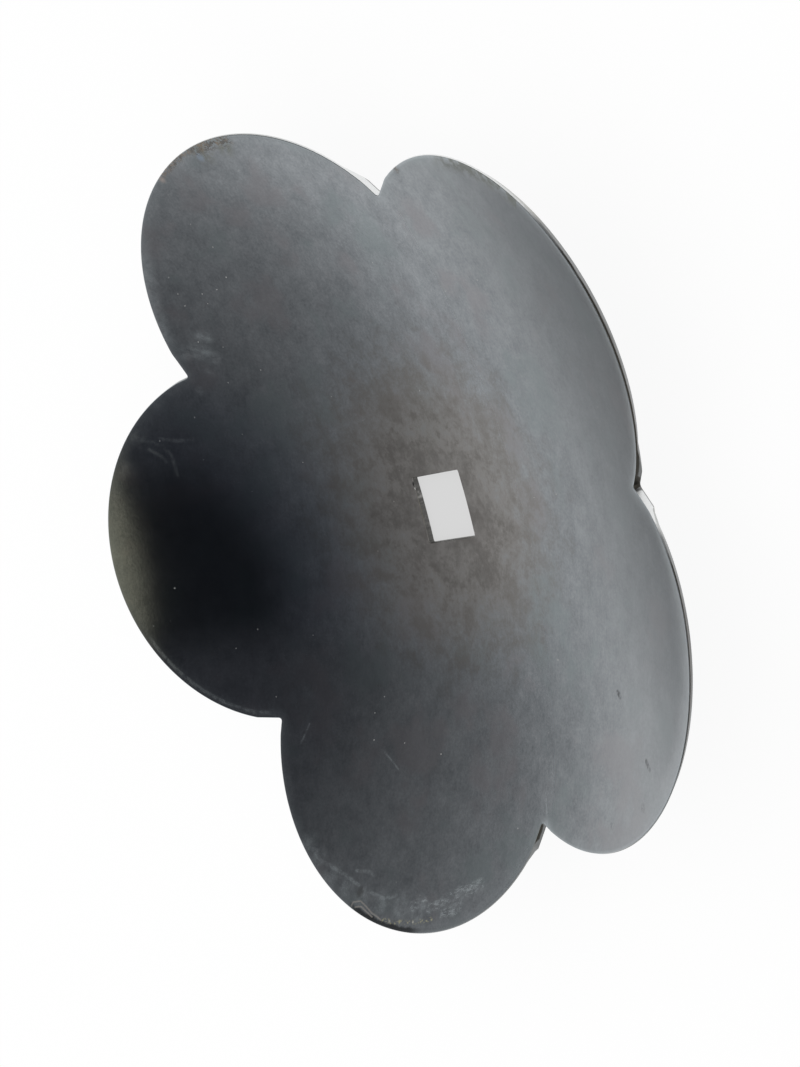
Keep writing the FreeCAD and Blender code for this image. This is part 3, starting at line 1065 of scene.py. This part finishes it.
def dressed_blade():
    """The blade, with a material for each zone and for each part of the hollow face with its
    wear and painted highlights.
    """
    mesh, zones = blade_mesh()
    piece = in_scene("disc_blade_steel", mesh)
    slots = {}
    for polygon, zone in zip(mesh.polygons, zones):
        make = ZONE_MATERIALS.get(zone)
        key = make or wear_at(polygon.center)
        if key not in slots:
            slots[key] = len(slots)
            mesh.materials.append(make() if make else hollow_sheet(key))
        polygon.material_index = slots[key]
    mesh.shade_smooth()
    mesh.set_sharp_from_angle(angle=SHARP_FROM)
    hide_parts("disc_blade")
    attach(piece, "root")


# Camera at the photograph's viewing angle, rolled as the photograph is
CAMERA_AT = Vector((0.1257, -1.0807, 0.9757))
CAMERA_AIM = Vector((-0.0076, 0.0040, 0.0450))
CAMERA_ROLL = math.radians(109.566)
FOCAL_PIXELS = 2170.5     # of the photograph's height, which is the longer side
PHOTO_HEIGHT = 1067
SENSOR = 36.0             # millimetres
CLIP_NEAR = 0.01
CLIP_FAR = 100.0


def photo_camera():
    data = bpy.data.cameras.new("photo_camera")
    data.sensor_width = SENSOR
    data.lens = FOCAL_PIXELS * SENSOR / PHOTO_HEIGHT
    data.clip_start = CLIP_NEAR
    data.clip_end = CLIP_FAR
    camera = in_scene("photo_camera", data)
    forward = (CAMERA_AIM - CAMERA_AT).normalized()
    level_right = forward.cross(Vector((0, 0, 1))).normalized()
    level_up = level_right.cross(forward)
    up = level_up * math.cos(CAMERA_ROLL) + level_right * math.sin(CAMERA_ROLL)
    right = forward.cross(up)
    camera.matrix_world = Matrix((
        (right.x, up.x, -forward.x, CAMERA_AT.x),
        (right.y, up.y, -forward.y, CAMERA_AT.y),
        (right.z, up.z, -forward.z, CAMERA_AT.z),
        (0, 0, 0, 1),
    ))
    bpy.context.scene.camera = camera


# The plain floor: white to the camera and to the steel, with the blade's shadow on it, and a painted
# shadow under the blade
WHITE = (1.0, 1.0, 1.0)
SQUARE = ((-1, -1), (1, -1), (1, 1), (-1, 1))
FLOOR_HALF = 8.0          # half of its side, in metres
FLOOR_ALBEDO = 0.97
FLOOR_ROUGHNESS = 0.95
PAINTED_SHADOW_TONE = 0.68        # painted shadow under the blade, as seen through its hole
PAINTED_SHADOW_WITHIN = (0.06, 0.16)  # radius where that is full and where it has died out
SHADOW_SHARE = 0.09       # share of the lit floor, with its shadow, in what is seen


def floor():
    """A wide plain floor under the blade, with a painted shadow beneath it."""
    corners = [(x * FLOOR_HALF, y * FLOOR_HALF, 0) for x, y in SQUARE]
    mesh = bpy.data.meshes.new("floor")
    mesh.from_pydata(corners, [], [(0, 1, 2, 3)])
    piece = in_scene("floor", mesh)
    material = bpy.data.materials.new("pale_floor")
    material.use_nodes = True
    graph = Graph(material.node_tree)
    matt = graph.tree.nodes["Principled BSDF"]
    matt.inputs["Roughness"].default_value = FLOOR_ROUGHNESS
    matt.inputs["Specular IOR Level"].default_value = 0.0
    place = graph.add("ShaderNodeTexCoord").outputs["Object"]
    # Painted shadow: the floor is painted darker within 160 mm of the middle, fully so within 60 mm,
    # for every ray
    beyond_painted_shadow = graph.rise(graph.measure("LENGTH", place), *PAINTED_SHADOW_WITHIN)
    tone = graph.mix(beyond_painted_shadow, (PAINTED_SHADOW_TONE,) * 3, (FLOOR_ALBEDO,) * 3)
    graph.put(matt.inputs["Base Color"], tone)
    pale = graph.mix(beyond_painted_shadow, (PAINTED_SHADOW_TONE,) * 3, WHITE)
    white = graph.add("ShaderNodeEmission", {"Color": pale})
    rays = graph.add("ShaderNodeLightPath").outputs
    seen = graph.most([rays["Is Camera Ray"], rays["Is Glossy Ray"], rays["Is Transmission Ray"]])
    shown = graph.add("ShaderNodeMixShader")
    graph.put(shown.inputs[0], graph.times(seen, 1 - SHADOW_SHARE))
    graph.put(shown.inputs[1], matt.outputs[0])
    graph.put(shown.inputs[2], white.outputs[0])
    graph.put(graph.tree.nodes["Material Output"].inputs["Surface"], shown.outputs[0])
    mesh.materials.append(material)
    piece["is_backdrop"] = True


# The room that the steel reflects: brightness against height above the horizon, on the
# brighter side of the room and on the other
BRIGHT_SIDE = (
    (0.00, WHITE),
    (0.26, (0.98, 0.98, 0.98)),
    (0.38, (0.88, 0.88, 0.885)),
    (0.50, (0.66, 0.66, 0.665)),
    (0.63, (0.45, 0.45, 0.456)),
    (0.76, (0.33, 0.33, 0.337)),
    (0.84, (0.235, 0.236, 0.244)),
    (0.90, (0.125, 0.131, 0.146)),
    (0.95, (0.050, 0.054, 0.066)),
    (0.98, (0.010, 0.012, 0.016)),
)
OTHER_SIDE = (
    (0.00, WHITE),
    (0.22, (0.90, 0.90, 0.90)),
    (0.40, (0.52, 0.52, 0.524)),
    (0.54, (0.385, 0.385, 0.39)),
    (0.65, (0.295, 0.295, 0.30)),
    (0.76, (0.215, 0.216, 0.222)),
    (0.84, (0.150, 0.151, 0.158)),
    (0.90, (0.098, 0.100, 0.109)),
    (0.97, (0.058, 0.060, 0.069)),
)
SIDES_MEET = (0.04, 0.17)     # x of the direction, from the brighter side to the other

# A warm panel overhead on the camera's side, and a slight shade on the brighter side. Each
# pair says where they are none and where full, by a part of the direction
PANEL_COLOUR = (0.47, 0.445, 0.335)
PANEL_EDGE = (0.075, 0.170)   # by minus y, with the slant's share of x added
PANEL_SLANT = -0.15
PANEL_LEFT = (-0.50, -0.36)   # by x
PANEL_RIGHT = (0.15, 0.00)
PANEL_LOW = (0.60, 0.80)      # by z
SHADE_SIDE = (-0.15, -0.45)   # by x
SHADE_LOW = (0.30, 0.60)      # by z
SHADE_SHARE = 0.15
BLACK = (0.0, 0.0, 0.0)


def studio_world():
    """White to the camera, an even fill on matt surfaces, and to polished steel a room with
    pale walls, a dark ceiling and a warm panel overhead."""
    world = bpy.data.worlds.new("studio")
    bpy.context.scene.world = world
    world.use_nodes = True
    world.node_tree.nodes.clear()
    graph = Graph(world.node_tree)
    direction = graph.add("ShaderNodeTexCoord").outputs["Generated"]
    x, y, z = graph.add("ShaderNodeSeparateXYZ", {"Vector": direction}).outputs
    bright, other = graph.ramp(z, BRIGHT_SIDE), graph.ramp(z, OTHER_SIDE)
    room = graph.mix(graph.rise(x, *SIDES_MEET), bright, other)
    shade = graph.times(graph.rise(x, *SHADE_SIDE), graph.rise(z, *SHADE_LOW), SHADE_SHARE)
    room = graph.mix(shade, room, BLACK)
    panel = graph.times(
        graph.rise(graph.math("MULTIPLY_ADD", x, PANEL_SLANT, graph.times(y, -1.0)), *PANEL_EDGE),
        graph.rise(x, *PANEL_LEFT),
        graph.rise(x, *PANEL_RIGHT),
        graph.rise(z, *PANEL_LOW),
    )
    room = graph.mix(panel, room, PANEL_COLOUR)
    rays = graph.add("ShaderNodeLightPath").outputs
    polished = graph.math("MAXIMUM", rays["Is Glossy Ray"], rays["Is Transmission Ray"])
    colour = graph.mix(rays["Is Camera Ray"], graph.mix(polished, WHITE, room), WHITE)
    sky = graph.add("ShaderNodeBackground", {"Color": colour})
    out = graph.add("ShaderNodeOutputWorld")
    graph.put(out.inputs["Surface"], sky.outputs[0])


dressed_blade()
photo_camera()
floor()
studio_world()
bpy.context.scene.view_settings.view_transform = "Standard"

boxes = {"cad": cad_box, "visual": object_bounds()}
boxes = {name: [list(corner) for corner in box] for name, box in boxes.items()}
